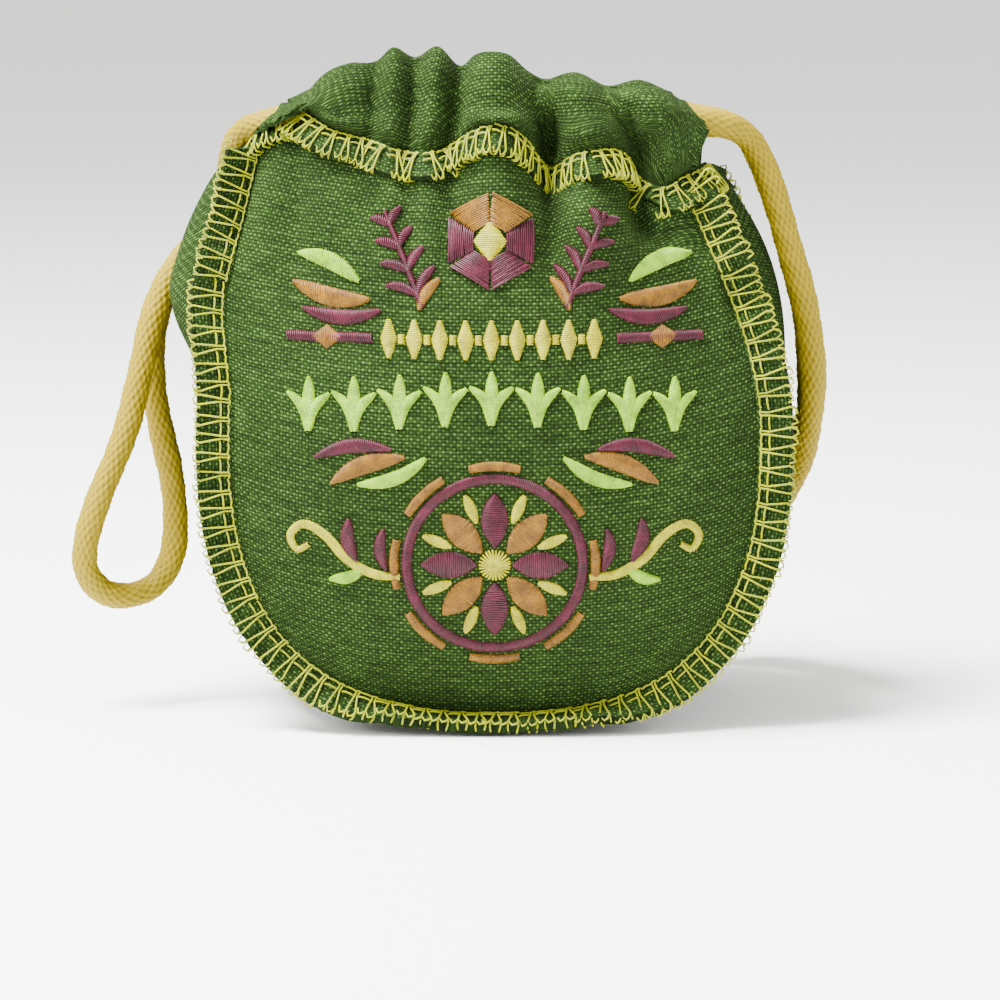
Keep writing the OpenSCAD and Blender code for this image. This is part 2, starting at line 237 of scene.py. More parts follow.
# The plait's height sets the colour: yellow on the strands and dark ochre in the gaps, which is painted
# shade. The fine fibre noise varies the yarn's own tone.
depth = node(tree, "ShaderNodeMath", {0: crown.outputs["Fac"], 1: 0.8}, operation="MULTIPLY")
lit = node(tree, "ShaderNodeMath", {0: fibre, 1: 0.22, 2: depth}, operation="MULTIPLY_ADD")
yarn_colour_and_gap_shade = node(tree, "ShaderNodeValToRGB", {"Fac": lit})
colour_steps(yarn_colour_and_gap_shade, [(0.05, "#4e3e00"), (0.42, "#746300"), (0.95, "#8a7a00")])
share = node(tree, "ShaderNodeMath", {0: blotch, 1: 0.25}, operation="MULTIPLY")
tint = node(tree, "ShaderNodeMix", {0: share, 6: yarn_colour_and_gap_shade, 7: colour("#7a6000")}, data_type="RGBA")
tree.links.new(tint.outputs[2], shader.inputs["Base Color"])
bump = node(tree, "ShaderNodeBump", {"Height": fibre, "Strength": 0.5, "Distance": 0.15 * mm})
tree.links.new(bump.outputs["Normal"], shader.inputs["Normal"])
shader.inputs["Roughness"].default_value = 0.62
shader.inputs["Specular IOR Level"].default_value = 0.15

plait_strands = 12           # strands that wind each way round the cord
plait_lay = 2.6 * mm         # length of one stitch of the plait along the cord
plait_depth = 0.42 * mm      # how far the strands stand above the gaps between them
cord_sides = 72
cord_step = 0.42 * mm


def plaited_surface(line):
    """Rings of points round a line, how high the plait stands there from 0 to 1, and cloth coordinates."""
    ahead = unit(np.gradient(line, axis=0))
    side = np.zeros_like(line)
    side[0] = unit(np.cross(ahead[0], [0.1, 0.9, 0.2]))
    for i in range(1, len(line)):
        side[i] = unit(side[i - 1] - ahead[i] * np.dot(side[i - 1], ahead[i]))
    other = np.cross(ahead, side)
    reach = distance_along(line)
    turn = np.linspace(0, 2 * math.pi, cord_sides, endpoint=False)
    s, a = np.meshgrid(reach / plait_lay, turn * plait_strands / (2 * math.pi), indexing="ij")
    left, right = s + a, s - a
    over = np.cos(math.pi * (np.floor(left) + np.floor(right)))
    left_crown = np.sin(math.pi * (left % 1)) * (0.62 + 0.38 * over * np.sin(math.pi * (right % 1)))
    right_crown = np.sin(math.pi * (right % 1)) * (0.62 - 0.38 * over * np.sin(math.pi * (left % 1)))
    relief = np.maximum(left_crown, right_crown)
    wander = 0.10 * mm * np.sin(s * 0.83 + 2.0 * np.sin(a * 0.26)) + 0.06 * mm * np.sin(s * 2.9 + a)
    radius = cord_d / 2 - plait_depth * 0.75 + plait_depth * relief + wander
    rings = (line[:, None] + radius[..., None] * (np.cos(turn)[None, :, None] * side[:, None]
                                                    + np.sin(turn)[None, :, None] * other[:, None]))
    uv = np.stack([reach[:, None] + 0 * a, 0 * s + turn[None] * cord_d / 2], -1)
    return rings, relief, uv


def cord_piece(name, line, rings, relief, uv, close=(False, False)):
    """A mesh tube from rings of points, with a rounded-off end where close says so."""
    points = rings.reshape(-1, 3)
    crown_out = relief.ravel()
    uv = uv.reshape(-1, 2)
    faces = grid_faces(len(line), cord_sides, wrap=True)
    ahead = unit(np.gradient(line, axis=0))
    for shut, row, outward in ((close[0], 0, -1), (close[1], len(line) - 1, 1)):
        if shut:
            ring = [row * cord_sides + k for k in range(cord_sides)]
            points = np.vstack([points, line[row] + outward * ahead[row] * 0.6 * mm])
            crown_out = np.append(crown_out, 0.6)
            uv = np.vstack([uv, uv[row * cord_sides]])
            hub = len(points) - 1
            faces += [(ring[(k + 1) % cord_sides], ring[k], hub)[::-outward] for k in range(cord_sides)]
    piece = make_piece(name, points, faces, cord_yarn, uv, {"crown": crown_out})
    bm = bmesh.new()
    bm.from_mesh(piece.data)
    bmesh.ops.recalc_face_normals(bm, faces=bm.faces)
    bm.to_mesh(piece.data)
    bm.free()
    return piece


# The cord is worked as one length, from the knot round to the knot again, and then parted at both ends of
# each run through the casing, so that the plait runs on through every join.
channel_x = np.arange(-4, 5) * 9.6 * mm
channel = np.column_stack([channel_x, lip_y(channel_x), channel_z(channel_x)])
run_front = np.vstack([left_end_front, channel * mirror_y, right_end * mirror_y])
run_back = np.vstack([left_end_back, channel, right_end])
whole_route = np.vstack([leg_front[:0:-1], run_front[::-1], left_loop[1:-1], run_back, leg_back[1:]])
whole_line = smooth_line(whole_route, cord_step)
whole_rings, whole_relief, whole_uv = plaited_surface(whole_line)
joins = [int(np.argmin(np.linalg.norm(whole_line - place, axis=1)))
         for place in (run_front[-1], run_front[0], run_back[0], run_back[-1])]
ends = [0, *joins, len(whole_line) - 1]
part_names = ("leg_front", "run_front", "loop", "run_back", "leg_back")
part_of = {part: slice(start, end + 1) for part, start, end in zip(part_names, ends, ends[1:])}


def cord_part(name, part, close=(False, False)):
    """One stretch of the whole cord as a piece, and its middle line."""
    rows = part_of[part]
    line = whole_line[rows]
    return cord_piece(name, line, whole_rings[rows], whole_relief[rows], whole_uv[rows], close), line


for side_name, start, end in (("front", lip_start, lip_start + lip_reach),
                              ("back", np.array([0, 11.6, 101]) * mm, np.array([0, 19.7, 112.1]) * mm)):
    strand, line = cord_part(f"drawstring_in_{side_name}_casing", f"run_{side_name}")
    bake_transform(strand)
    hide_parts(f"cord_{side_name}_run")

loop, line = cord_part("drawstring_left_loop", "loop")
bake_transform(loop)
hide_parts("cord_left_loop")

for side_name, tail_route in (("left", tail_left), ("right", tail_right)):
    line = smooth_line(tail_route, cord_step)
    tail = cord_piece(f"drawstring_tail_{side_name}", line, *plaited_surface(line), close=(True, True))
    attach(tail, "right_loop")
    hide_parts("cord_tails")

# The knot is an overhand knot of both ends together: the cord crosses over itself three times.
turn = np.linspace(0, 2 * math.pi, 13)[:-1]
knot_turns = np.column_stack([
    (np.sin(turn) + 2 * np.sin(2 * turn)) * 1.25,
    (np.cos(turn) - 2 * np.cos(2 * turn)) * 1.25,
    -np.sin(3 * turn) * 2.1]) * mm
knot_turns = knot_turns[:, [0, 2, 1]] + knot_centre
knot_turns = np.vstack([knot_turns, knot_turns[:1]])
line = smooth_line(knot_turns, cord_step, before=knot_turns[-2], after=knot_turns[1])
knot = cord_piece("drawstring_knot", line, *plaited_surface(line))
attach(knot, "right_loop")
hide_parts("cord_knot")

for side_name, closed in (("front", (True, False)), ("back", (False, True))):
    leg, line = cord_part(f"drawstring_right_leg_{side_name}", f"leg_{side_name}", closed)
    if side_name == "front":
        line = line[::-1]
    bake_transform(leg)
    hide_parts(f"cord_right_leg_{side_name}")


# ---- Canvas of the bag ----
# Green cotton canvas in a plain weave, about 15 yarns to the centimetre, matt and a little fuzzy.
# The weave follows the cloth's own flat measure, kept in metres as the piece's UV map.
yarn_pitch = 0.68 * mm
canvas, tree, shader = new_material("plain_weave_cotton_canvas_green")
flat = node(tree, "ShaderNodeUVMap", uv_map="cloth")
wobble = node(tree, "ShaderNodeTexNoise", {"Vector": flat, "Scale": 420, "Detail": 2})
waved = node(tree, "ShaderNodeVectorMath", {0: wobble.outputs["Color"], 1: (0.00042,) * 3, 2: flat},
             operation="MULTIPLY_ADD")
place = node(tree, "ShaderNodeSeparateXYZ", {0: waved})
across = node(tree, "ShaderNodeMath", {0: place.outputs["X"], 1: math.pi / yarn_pitch}, operation="MULTIPLY")
along = node(tree, "ShaderNodeMath", {0: place.outputs["Y"], 1: math.pi / yarn_pitch}, operation="MULTIPLY")
warp = node(tree, "ShaderNodeMath", {0: across}, operation="SINE")
weft = node(tree, "ShaderNodeMath", {0: along}, operation="SINE")
which = node(tree, "ShaderNodeMath", {0: warp, 1: weft}, operation="MULTIPLY")
warp_up = node(tree, "ShaderNodeMath", {0: which, 1: 0}, operation="GREATER_THAN")
warp_round = node(tree, "ShaderNodeMath", {0: warp}, operation="ABSOLUTE")
weft_round = node(tree, "ShaderNodeMath", {0: weft}, operation="ABSOLUTE")
both = node(tree, "ShaderNodeMath", {0: warp_round, 1: weft_round}, operation="MULTIPLY")
warp_high = node(tree, "ShaderNodeMath", {0: warp_round, 1: 0.15, 2: both}, operation="MULTIPLY_ADD")
weft_high = node(tree, "ShaderNodeMath", {0: weft_round, 1: 0.85, 2: both}, operation="MULTIPLY_ADD")
weave = node(tree, "ShaderNodeMix", {0: warp_up, 2: weft_high, 3: warp_high}, data_type="FLOAT")
slub_place = node(tree, "ShaderNodeMapping", {"Vector": flat, "Scale": (160, 1300, 1)})
slub = node(tree, "ShaderNodeTexNoise", {"Vector": slub_place, "Scale": 1, "Detail": 3})
fleck_place = node(tree, "ShaderNodeMapping", {"Vector": flat, "Scale": (1200, 1100, 1)})
fleck = node(tree, "ShaderNodeTexNoise", {"Vector": fleck_place, "Scale": 1, "Detail": 4})
cloud = node(tree, "ShaderNodeTexNoise", {"Vector": flat, "Scale": 45, "Detail": 3})
# The colour mixes four noises. The weave's height and the fine flecks lighten the yarn crowns as painted
# highlight and darken the dips between them as painted shade. The slubs along the yarns and the broad clouds
# are the cloth's own uneven tone.
tone = 0.0
for part, share in ((weave, 0.20), (slub, 0.42), (fleck, 0.48), (cloud, 0.14)):
    tone = node(tree, "ShaderNodeMath", {0: part, 1: share, 2: tone}, operation="MULTIPLY_ADD")
yarn_tone_and_painted_light = node(tree, "ShaderNodeValToRGB", {"Fac": tone})
colour_steps(yarn_tone_and_painted_light, [(0.44, "#081103"), (0.60, "#132108"), (0.76, "#1d300c"), (0.92, "#425a2a")])
tree.links.new(yarn_tone_and_painted_light.outputs["Color"], shader.inputs["Base Color"])
height = node(tree, "ShaderNodeMath", {0: fleck, 1: 0.5, 2: weave}, operation="MULTIPLY_ADD")
bump = node(tree, "ShaderNodeBump", {"Height": height, "Strength": 0.55, "Distance": 0.2 * mm})
tree.links.new(bump.outputs["Normal"], shader.inputs["Normal"])
shader.inputs["Roughness"].default_value = 0.9
shader.inputs["Specular IOR Level"].default_value = 0.06
shader.inputs["Sheen Weight"].default_value = 0.02
shader.inputs["Sheen Roughness"].default_value = 0.45
shader.inputs["Sheen Tint"].default_value = colour("#b4d070")

half_w = 50 * mm             # half the bag's width, seam to seam
belly_z = 55 * mm            # height of its widest and fullest place
top_z = 108 * mm             # height of the neck seam before it is gathered
seam_low_z = 3 * mm          # height of the seam at the base
seam_y = 24 * mm             # distance of the side seams from the middle plane
belly_y = 36 * mm            # distance of the fullest place of a panel from the middle plane
side_bulge = 7.5 * mm
cloth_t = 0.9 * mm
squareness = 2.46            # 2 would make the bottom of the outline an ellipse
shoulder_h = 80 * mm
fullness = 2.2               # how late a panel turns in towards its seam
ring_x, ring_y = 45 * mm, 20 * mm      # half sizes of the neck's oval
corner_x = half_w * math.sqrt(1 - ((top_z - belly_z) / shoulder_h) ** 2)
corner_a = math.pi - math.atan2(corner_x, top_z - belly_z)
corner_y = ring_y * math.sqrt(1 - (corner_x / ring_x) ** 2)


def ring_depth(x):
    """Half depth of the neck's oval at x."""
    return ring_y * np.sqrt(np.maximum(0, 1 - (x / ring_x) ** 2))


def rim_radius(a):
    """Distance from the bag's middle to the seam, at angle a from straight down."""
    s, c = np.sin(a), np.cos(a)
    low = ((np.abs(s) / half_w) ** squareness
           + (np.abs(c) / (belly_z - seam_low_z)) ** squareness) ** (-1 / squareness)
    high = 1 / np.hypot(s / half_w, c / shoulder_h)
    flat_top = np.where(c < -1e-6, (belly_z - top_z) / np.minimum(c, -1e-6), 1)
    return np.where(c > 0, low, np.minimum(high, flat_top))


def rim_place(a):
    """Places x and z on the seam at angle a from straight down."""
    return np.stack([rim_radius(a) * np.sin(a), belly_z - rim_radius(a) * np.cos(a)], -1)


def rim_depth(x, z):
    """Distance of the seam from the bag's middle plane."""
    side = seam_y + (corner_y - seam_y) * ease((z - belly_z) / (top_z - belly_z))
    return np.where(z > top_z - 1e-6, ring_depth(x), side)


def panel_depth(x, z):
    """Distance of a panel from the bag's middle plane at (x, z)."""
    a = np.arctan2(x, belly_z - z)
    r = rim_radius(a)
    ratio = np.clip(np.hypot(x, z - belly_z) / r, 0, 1)
    d = rim_depth(r * np.sin(a), belly_z - r * np.cos(a))
    return d + (belly_y - d) * (1 - ratio**fullness)


# The neck is gathered into pleats: x at the seam, x at the top edge, stand at the seam, stand at the
# top edge (a crease is less than 0), and half width.
front_pleats = np.array([
    [-31, -29, 1.5, 1.2, 6.0], [-23.6, -22.2, -1.0, -2.6, 1.7], [-19.6, -18.9, 1.0, 1.2, 2.5],
    [-16.2, -15.0, -1.4, -2.8, 1.6], [-12.6, -10.4, 1.2, 1.6, 2.6], [-8.2, -6.1, -2.2, -3.4, 1.9],
    [0.9, -0.6, 3.8, 2.6, 5.0], [10.7, 9.3, -6.5, -4.2, 2.2], [17.8, 14.5, 2.8, 1.6, 3.8],
    [27.8, 21.3, -5.0, -2.6, 2.2], [35.5, 30.0, 2.6, 2.0, 4.5]]) * mm
back_pleats = np.array([
    [-35, -32, 2.2, 1.6, 4.5], [-27, -25, -3.5, -2.4, 2.2], [-19, -18, 2.6, 1.8, 3.6],
    [-9.5, -10.5, -4.2, -3.0, 2.2], [-1, -2, 3.0, 2.0, 4.2], [8.5, 7.5, -4.0, -3.0, 2.0],
    [16, 16, 3.0, 2.0, 3.6], [23, 22, -4.2, -2.6, 2.0], [31, 29.5, 2.8, 1.8, 4.0]]) * mm
front_neck = np.array([
    [-45, 112.5], [-41, 116.5], [-36, 117.6], [-30, 114.5], [-23, 112.6], [-16, 110.6], [-9, 111.4],
    [-2.7, 115], [1.1, 115.8], [5.5, 113.2], [8.8, 108.8], [10.8, 107.4], [15.8, 110.3], [18.6, 111],
    [24, 110.2], [28.2, 106.3], [30.5, 103.8], [35.7, 106.2], [41, 107.6], [45, 106]]) * mm
back_neck = np.array([
    [-45, 112.5], [-39, 112.5], [-33, 111.5], [-26, 108.6], [-18, 110.6], [-9, 107.6], [0, 110],
    [8, 107], [16, 109], [22, 106], [30, 107.6], [38, 105.6], [45, 106]]) * mm


def keyed(x, keys):
    """A smooth line through pairs of place and value."""
    place, value = keys[:, 0], keys[:, 1]
    slope = np.gradient(value, place)
    i = np.clip(np.searchsorted(place, x) - 1, 0, len(place) - 2)
    span = place[i + 1] - place[i]
    t = np.clip((x - place[i]) / span, 0, 1)
    return ((2 * t**3 - 3 * t**2 + 1) * value[i] + (t**3 - 2 * t**2 + t) * span * slope[i]
            + (3 * t**2 - 2 * t**3) * value[i + 1] + (t**3 - t**2) * span * slope[i + 1])


def pleat_stand(x, level, pleats):
    """How far the pleats stand out at x; level is 0 at the neck seam and 1 at the casing's top edge."""
    stand = np.zeros_like(x + level)
    for at_seam, at_top, seam_stand, top_stand, half_width in pleats:
        q = (x - at_seam - (at_top - at_seam) * level) / half_width
        bump = np.exp(-q * q) if seam_stand > 0 else 1 / (1 + np.abs(q) ** 2.4) - 0.12 / (1 + 0.1 * q * q)
        stand = stand + (seam_stand + (top_stand - seam_stand) * level) * bump
    return stand * (1 - np.clip(np.abs(x) / ring_x, 0, 1) ** 10)


def gathered(points):
    """Where the cloth goes when the neck is drawn in: pleats, a slope to the right, moved corners."""
    p = np.array(points, float)
    x, y, z = p[..., 0].copy(), p[..., 1].copy(), p[..., 2].copy()
    front = y < 0
    facing = ease(-y / (9 * mm))
    shift = (4.8 * mm * step_up(z, 60, 45) * step_up(x, 12, 22)
             + 3.9 * mm * step_up(z, 88, 20) * step_up(-x, 14, 22)) * facing
    new_x = x - shift
    limit = 44.9 * mm
    moved = ring_depth(np.clip(new_x, -limit, limit)) - ring_depth(np.clip(x, -limit, limit))
    new_y = y + np.where(front, -1, 1) * moved * step_up(z, 60, 48) * facing
    normal = unit(np.stack([new_x / ring_x**2, new_y / ring_y**2], axis=-1))
    key_x = np.clip(new_x, -ring_x, ring_x)
    stand = np.where(front, pleat_stand(key_x, 0 * x, front_pleats), pleat_stand(key_x, 0 * x, back_pleats))
    stand = stand * step_up(z, 76, 32) ** 1.4
    lift = np.where(front, keyed(key_x, front_neck), keyed(key_x, back_neck)) - top_z
    lift = lift * step_up(z, 84, 24)
    # The left shoulder spreads outward, with a rolled edge and a groove beside it.
    spread = step_up(z, 62, 24) * step_up(-z, -110, 22) * step_up(-x, 22, 24)
    new_x = new_x - 4.6 * mm * spread * (1 - 0.65 * step_up(y, -14, 24))
    rolled = (-1.7 * mm * np.exp(-(((new_x + 37.5 * mm) / (2.2 * mm)) ** 2))
              + 1.5 * mm * np.exp(-(((new_x + 43 * mm) / (3.4 * mm)) ** 2)))
    stand = stand + np.where(front, rolled, 0) * step_up(z, 78, 22) * facing
    # A soft fold crosses the right shoulder, from the deepest crease down to the side seam.
    run = np.array([23, -13]) * mm
    rel = np.stack([new_x - 11 * mm, z - 108 * mm], axis=-1)
    t = (rel @ run) / (run @ run)
    off = (rel @ np.array([-run[1], run[0]])) / np.linalg.norm(run)
    shoulder = (-1.9 * mm * np.exp(-((off / (2.6 * mm)) ** 2))
                + 1.6 * mm * np.exp(-(((off + 6 * mm) / (4.5 * mm)) ** 2)))
    stand = stand + np.where(front, shoulder, 0) * ease((t + 0.15) / 0.3) * ease((1.25 - t) / 0.4)
    p[..., 0] = new_x + normal[..., 0] * stand
    p[..., 1] = new_y + normal[..., 1] * stand
    p[..., 2] = z + lift
    return p


def flat_measure(grid):
    """Cloth coordinates of a grid of points: distance along its rows and its columns from the middle."""
    along_row = np.array([distance_along(row) for row in grid])
    along_row -= along_row[:, [grid.shape[1] // 2]]
    along_column = np.array([distance_along(column) for column in grid.swapaxes(0, 1)]).T
    along_column -= along_column[[grid.shape[0] // 2]]
    return np.stack([along_row, along_column], axis=-1)


def panel_grid(flip):
    """Points of a panel before it is gathered. flip is -1 for the front and 1 for the back."""
    columns, rows = 96, 104
    low_a = math.radians(42)
    right = rim_place(np.linspace(low_a, corner_a, rows))
    left = right * np.array([-1, 1])
    bottom = rim_place(np.linspace(-low_a, low_a, columns))
    top = np.stack([np.linspace(-corner_x, corner_x, columns), np.full(columns, top_z)], -1)
    u = np.linspace(0, 1, columns)[None, :, None]
    v = np.linspace(0, 1, rows)[:, None, None]
    flat_xz = ((1 - v) * bottom[None] + v * top[None] + (1 - u) * left[:, None] + u * right[:, None]
               - (1 - u) * (1 - v) * bottom[0] - u * (1 - v) * bottom[-1]
               - (1 - u) * v * top[0] - u * v * top[-1])
    x, z = flat_xz[..., 0], flat_xz[..., 1]
    return np.stack([x, flip * panel_depth(x, z), z], -1)


def seam_ripple(points, flip):
    """Small puckers that the stitching draws into the cloth beside a seam, and the cloth's own unevenness."""
    x, z = points[..., 0], points[..., 2]
    a = np.arctan2(x, belly_z - z)
    gap = rim_radius(a) - np.hypot(x, z - belly_z)
    length = a * belly_z          # about the distance along the seam
    pucker = 0.42 * mm * np.sin(length / (1.25 * mm) + 1.7 * np.sin(length / (7 * mm) + flip))
    pucker = pucker * np.exp(-gap / (3.2 * mm)) * ease(gap / (1.6 * mm))
    soft = (0.55 * mm * np.sin(x / (9.5 * mm) + 1.3 * np.sin(z / (13 * mm)) + flip)
            * np.sin(z / (11 * mm) + 0.9 * np.sin(x / (15 * mm)) + 2 * flip))
    return pucker + soft * ease(gap / (9 * mm))


def solidify(piece, thickness):
    """Gives a sheet its thickness, inward from its outer face."""
    wall = piece.modifiers.new("cloth_thickness", "SOLIDIFY")
    wall.thickness = thickness
    wall.offset = -1
    # A cut edge stays crisp, so that its narrow side doesn't shade the face of the cloth.
    mesh = piece.data
    edge_of = np.zeros(len(mesh.loops), dtype=np.int32)
    mesh.loops.foreach_get("edge_index", edge_of)
    lone = np.bincount(edge_of, minlength=len(mesh.edges)) == 1
    mesh.attributes.new("sharp_edge", "BOOLEAN", "EDGE").data.foreach_set("value", lone)


def join_lip(piece):
    """Bakes the piece's placement into its mesh."""
    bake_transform(piece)


def sheet_of_canvas(name, grid, cloth, stands_for, turned=False):
    """A sheet of canvas from a grid of points, with its thickness, baked in place; the part it stands for is
    hidden.
    """
    faces = grid_faces(*grid.shape[:2])
    if turned:
        faces = [f[::-1] for f in faces]
    sheet = make_piece(name, grid.reshape(-1, 3), faces, canvas, cloth.reshape(-1, 2))
    solidify(sheet, cloth_t)
    join_lip(sheet)
    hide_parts(stands_for)


# ---- Front and back panels ----
# Two U-shaped pieces of the canvas, filled out by what the bag holds and drawn in at the neck.
for side_name, flip in sides:
    rest = panel_grid(flip)
    shape = gathered(rest)
    shape[..., 1] += flip * seam_ripple(rest, flip)
    sheet_of_canvas(f"{side_name}_panel_canvas", shape, flat_measure(shape), f"{side_name}_panel",
                    turned=flip > 0)


# ---- Gusset ----
# One long strip of the canvas round both sides and the base. It bulges, most at the upper left.
def seam_out(a):
    """Direction out of the outline at angle a, levelled near the neck."""
    b = np.clip(a, -corner_a + 0.01, corner_a - 0.01)
    step = 0.009
    ahead = rim_place(b + step) - rim_place(b - step)
    out = unit(np.stack([ahead[..., 1], -ahead[..., 0]], -1))
    level = step_up(rim_place(b)[..., 1], 86, 22)[..., None]
    return unit(out * (1 - level) + np.stack([np.sign(b), 0 * b], -1) * level)


extra_bulge = np.array([[56, 0], [63, 0.6], [69, 2.4], [75, 5.2], [81, 6.6], [88, 5.6], [95, 4.4],
                        [102, 3.6], [108, 2.0]]) * mm


def gusset_grid():
    """Points of the gusset strip: along the seam from the left neck corner to the right one, and across."""
    rows, columns = 210, 41
    a = np.linspace(-corner_a, corner_a, rows)[:, None] + np.zeros((1, columns))
    v = np.linspace(-1, 1, columns)[None, :] + 0 * a
    x, z = np.moveaxis(rim_place(a), -1, 0)
    out = seam_out(a)
    more = np.where(x < 0, keyed(z, extra_bulge), 0) * (1 - v**2) * (1 - 0.9 * ease((v + 0.35) / 0.75))
    length = a * belly_z          # about the distance along the seam
    pucker = 0.8 * mm * np.sin(length / (1.3 * mm) + 1.5 * np.sin(length / (9 * mm)))
    pucker = pucker * np.abs(v) ** 5 * (1 - v**8)
    soft = 0.8 * mm * np.sin(length / (8 * mm) + 1.4 * np.sin(v * 2.2)) * (1 - v**2) * step_up(z, 12, 20)
    bulge = side_bulge * (1 - v**2) + more + pucker + soft
    points = np.stack([x + out[..., 0] * bulge, v * rim_depth(np.clip(x, -corner_x, corner_x), z - 2e-6),
                       np.maximum(0, z + out[..., 1] * bulge)], -1)
    end = step_up(z, 104, 4)[..., None]
    depth = v * corner_y
    oval = np.stack([np.sign(x) * ring_x * np.sqrt(1 - (depth / ring_y) ** 2), depth, z], -1)
    return points * (1 - end) + oval * end


rest = gusset_grid()
shape = gathered(rest)
cloth = flat_measure(shape)
middle = shape.shape[1] // 2
for side_name, half in (("front", slice(0, middle + 1)), ("back", slice(middle, None))):
    sheet_of_canvas(f"gusset_canvas_{side_name}_half", shape[:, half], cloth[:, half], "gusset")


# ---- Casing ----
# Each half is a strip of the canvas folded over into a tube round the cord and sewn to the neck. The
# cord gathers it into pleats; the tube's open ends let the cord out at both sides.
front_top = np.array([
    [-46, 117], [-41, 118.3], [-36.3, 120.8], [-32.9, 124.4], [-27.4, 127], [-22.6, 127.3], [-19.1, 130],
    [-15.4, 128.0], [-10.6, 130.2], [-6.2, 126.4], [-3.9, 128.5], [-0.3, 129.3], [2.8, 128.6],
    [6.2, 125.6], [9, 123.9], [14, 124.3], [18.6, 123.3], [22, 122.1], [28.9, 122.6], [33, 121.4],
    [36, 119.6], [41.2, 118.4], [46, 117]]) * mm
back_top = np.array([
    [-46, 117], [-40, 119.3], [-32, 122.3], [-25, 120.9], [-18, 123.2], [-10, 122.0], [-1, 123.6],
    [8, 122.2], [16, 124.0], [22, 121.7], [28.5, 122.6], [34, 120.6], [40, 119.3], [46, 117]]) * mm
cord_gap = 3.75 * mm          # the cloth's outer face stays at least this far from the cord's middle
belly = 5.9 * mm              # how far the tube's outer side stands out from the cord's middle


def neck_line(flip, degrees):
    """Places round the drawn-in neck, at angles from the middle of a side, and the way out there."""
    theta = np.radians(degrees)
    ring = np.stack([ring_x * np.sin(theta), flip * ring_y * np.cos(theta), np.full_like(theta, top_z)], -1)
    out = unit(np.stack([np.sin(theta) / ring_x, flip * np.cos(theta) / ring_y, 0 * theta], -1))
    return gathered(ring), out


def casing_grid(flip, run, pleats, tops, left_cut, right_cut):
    """Points of one casing half: rows round the tube, from the outer seam over the top to the inner seam.
    A cut says from where to where, sideways, the tube's open end slopes, and how much of it is left there."""
    degrees = np.linspace(-66, 64, 260)
    sewn, _ = neck_line(flip, degrees)
    axis_x = 44.6 * mm * np.sin(np.radians(degrees))
    axis = np.column_stack([axis_x, sampled(axis_x, run[:, 0], run[:, 1:])])
    axis[:, 1] = flip * np.maximum(np.abs(axis[:, 1]), 7.5 * mm)
    tangent = unit(np.gradient(axis, axis=0) * np.array([1, 1, 0]))
    out = np.stack([tangent[:, 1], -tangent[:, 0], 0 * axis_x], -1)
    out = unit(out * np.sign(out[:, 1] * flip)[:, None] * np.array([0.45, 1, 1]))
    up = np.array([0, 0, 1.0])
    top = keyed(axis_x, tops)
    rise = (top - axis[:, 2])[:, None]
    mid = axis + up * np.maximum(0, sewn[:, 2:] + 1.5 * mm - axis[:, 2:])
    front_side = mid + out * belly
    inner_side = mid - out * 4.6 * mm
    inner_seam = sewn - out * 1.6 * mm + up * 0.4 * mm
    ring_points = np.stack([
        sewn - (front_side - sewn) * 0.35,
        sewn,
        (sewn + front_side) / 2 + out * 0.9 * mm,
        front_side,
        axis + out * 4.7 * mm + up * rise * 0.64,
        axis + out * 0.4 * mm + up * rise,
        axis - out * 3.6 * mm + up * rise * 0.62,
        inner_side,
        (inner_seam + inner_side) / 2 - out * 0.6 * mm,
        inner_seam,
        inner_seam - (inner_side - inner_seam) * 0.35])
    rows = 64
    right_share, left_share = (
        1 - (1 - share) * ease((way - first) / (last - first))
        for way, (first, last, share) in ((axis_x, right_cut), (-axis_x, left_cut)))
    t = np.linspace(0, 1, rows)[:, None] * np.where(axis_x > 0, right_share, left_share)[None, :] * 8
    i = np.clip(t.astype(int), 0, 7)
    f = (t - i)[..., None]
    column = np.arange(len(axis_x))[None, :] + 0 * i
    a, b, c, d = (ring_points[i + k, column] for k in range(4))
    grid = between(a, b, c, d, f)
    level = np.clip((grid[..., 2] - sewn[None, :, 2]) / (top - sewn[:, 2])[None, :], 0, 1)
    x = np.clip(grid[..., 0], -ring_x, ring_x)
    stand = pleat_stand(x, level, pleats) * (1 + 0.35 * ease(level / 0.5))
    fine = 0.16 * mm * np.sin(x / (0.9 * mm) + 2.2 * np.sin(level * 2.5 + x / (6 * mm)) + 3 * level)
    fine = fine * np.sin(level * math.pi) ** 0.5 * (0.5 + 0.5 * np.sin(x / (5.3 * mm) + 4 * level))
    start = ease(t / 0.9) * ease((8 - t) / 0.9)
    outer = np.where(t < 4.5, 1, 0.55)
    grid = grid + out[None] * ((stand * outer + fine) * start)[..., None]
    away = grid - axis[None]
    across = (away * out[None]).sum(-1)
    clear = np.sqrt(np.maximum(cord_gap**2 - away[..., 2] ** 2, 0))
    kept = np.where(t < 3.8, np.maximum(across, clear), np.where(t > 5, np.minimum(across, -clear), across))
    kept = across + (kept - across) * ease(t / 1.2)
    grid = grid + (kept - across)[..., None] * out[None]
    across = kept
    near = np.hypot(across, away[..., 2])
    push = (np.clip(cord_gap / np.maximum(near, 1e-6), 1, 3) - 1) * ease(t / 1.2)
    return grid + (push * across)[..., None] * out[None] + (push * away[..., 2])[..., None] * up


for side_name, flip, run, pleats, tops, cuts in (
        ("front", -1, run_front, front_pleats, front_top,
         ((36 * mm, 41 * mm, 0.5), (31 * mm, 40 * mm, 0.22))),
        ("back", 1, run_back, back_pleats, back_top, ((36 * mm, 41 * mm, 0.5), (29 * mm, 38 * mm, 0.22)))):
    shape = casing_grid(flip, run, pleats, tops, *cuts)
    sheet_of_canvas(f"casing_canvas_{side_name}", shape, flat_measure(shape),
                    f"casing_{side_name}", turned=flip > 0)


